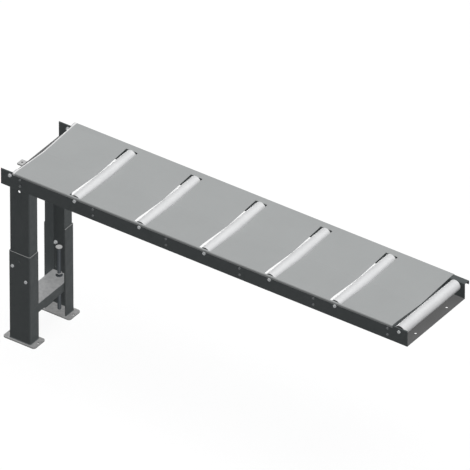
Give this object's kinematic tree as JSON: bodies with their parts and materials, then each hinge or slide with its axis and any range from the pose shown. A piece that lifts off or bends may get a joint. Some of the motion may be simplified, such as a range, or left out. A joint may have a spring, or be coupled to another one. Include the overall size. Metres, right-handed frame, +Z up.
{
  "type": "roller conveyor",
  "caption": "Straight gravity roller table with bent rails, slotted cover sheet in a shallow trough, and a height-adjustable jack stand under one end.",
  "frame": {"origin": "on the floor, under the middle of the overall box, stand at its lowest setting", "axes": "+X along the conveyor from the stand to the fixed end, +Z up, -Y the side with the inward flange"},
  "size_m": [2.054, 0.4458, 0.88],
  "materials": {
    "dark_paint": "semi-matt anthracite powder coat",
    "sheet_paint": "satin light grey paint",
    "roller_zinc": "bright zinc-plated tube",
    "black_plastic": "moulded black",
    "bearing_steel": "ground steel",
    "bright_steel": "drawn bright bar",
    "zinc_fastener": "zinc plated",
    "black_screw": "blackened",
    "galvanised_plate": "galvanised"
  },
  "bodies": {
    "deck": {"front_rail": "dark_paint", "rear_rail": "dark_paint", "cover_sheet": "sheet_paint", "cross_member_1": "dark_paint", "cross_member_2": "dark_paint", "cross_member_3": "dark_paint", "cross_member_4": "dark_paint", "cross_member_5": "dark_paint", "cross_member_6": "dark_paint", "left_end_tie": "dark_paint", "right_end_tie": "dark_paint", "axle_1": "bright_steel", "axle_2": "bright_steel", "axle_3": "bright_steel", "axle_4": "bright_steel", "axle_5": "bright_steel", "axle_6": "bright_steel", "bearing_races": "bright_steel", "rail_bolts": "zinc_fastener", "coupling_nuts": "zinc_fastener", "coupling_washers": "zinc_fastener", "cross_screws": "black_screw", "front_upper_leg": "dark_paint", "rear_upper_leg": "dark_paint", "head_beam": "dark_paint", "stand_bolts": "zinc_fastener", "stand_nuts": "zinc_fastener", "coupling_lug": "galvanised_plate", "cross_beam": "dark_paint", "jack_plate": "galvanised_plate", "jack_nuts": "zinc_fastener"},
    "roller_1": {"roller_1_tube": "roller_zinc", "roller_1_housings": "black_plastic", "roller_1_bearings": "bearing_steel"},
    "roller_2": {"roller_2_tube": "roller_zinc", "roller_2_housings": "black_plastic", "roller_2_bearings": "bearing_steel"},
    "roller_3": {"roller_3_tube": "roller_zinc", "roller_3_housings": "black_plastic", "roller_3_bearings": "bearing_steel"},
    "roller_4": {"roller_4_tube": "roller_zinc", "roller_4_housings": "black_plastic", "roller_4_bearings": "bearing_steel"},
    "roller_5": {"roller_5_tube": "roller_zinc", "roller_5_housings": "black_plastic", "roller_5_bearings": "bearing_steel"},
    "roller_6": {"roller_6_tube": "roller_zinc", "roller_6_housings": "black_plastic", "roller_6_bearings": "bearing_steel"},
    "front_leg": {"front_lower_leg": "dark_paint", "front_foot_plate": "galvanised_plate", "front_clamp_bolts": "zinc_fastener", "front_clamp_nuts": "zinc_fastener"},
    "front_jack": {"front_jack_screw": "bright_steel"},
    "rear_leg": {"rear_lower_leg": "dark_paint", "rear_foot_plate": "galvanised_plate", "rear_clamp_bolts": "zinc_fastener", "rear_clamp_nuts": "zinc_fastener"},
    "rear_jack": {"rear_jack_screw": "bright_steel"}
  },
  "joints": [
    {"name": "roller_1_spin", "type": "hinge", "parent": "deck", "child": "roller_1", "pos_m": [-0.606, -0.01205, 0.855], "axis": [0, 1, 0], "continuous": true},
    {"name": "roller_2_spin", "type": "hinge", "parent": "deck", "child": "roller_2", "pos_m": [-0.286, -0.01205, 0.855], "axis": [0, 1, 0], "continuous": true},
    {"name": "roller_3_spin", "type": "hinge", "parent": "deck", "child": "roller_3", "pos_m": [0.034, -0.01205, 0.855], "axis": [0, 1, 0], "continuous": true},
    {"name": "roller_4_spin", "type": "hinge", "parent": "deck", "child": "roller_4", "pos_m": [0.354, -0.01205, 0.855], "axis": [0, 1, 0], "continuous": true},
    {"name": "roller_5_spin", "type": "hinge", "parent": "deck", "child": "roller_5", "pos_m": [0.674, -0.01205, 0.855], "axis": [0, 1, 0], "continuous": true},
    {"name": "roller_6_spin", "type": "hinge", "parent": "deck", "child": "roller_6", "pos_m": [0.987, -0.01205, 0.855], "axis": [0, 1, 0], "continuous": true},
    {"name": "front_leg_slide", "type": "slide", "parent": "deck", "child": "front_leg", "axis": [0, 0, -1], "range_m": [0, 0.12]},
    {"name": "rear_leg_slide", "type": "slide", "parent": "deck", "child": "rear_leg", "axis": [0, 0, -1], "range_m": [0, 0.12]},
    {"name": "front_jack_turn", "type": "hinge", "parent": "front_leg", "child": "front_jack", "pos_m": [-0.9205, -0.13605, 0.006], "axis": [0, 0, -1], "range_deg": [0, 21600]},
    {"name": "rear_jack_turn", "type": "hinge", "parent": "rear_leg", "child": "rear_jack", "pos_m": [-0.9205, 0.11195, 0.006], "axis": [0, 0, -1], "range_deg": [0, 21600]}
  ],
  "couplings": [
    {"joint": "front_jack_turn", "follows": "front_leg_slide", "rad_per_m": 3141.6},
    {"joint": "rear_jack_turn", "follows": "rear_leg_slide", "rad_per_m": 3141.6}
  ]
}
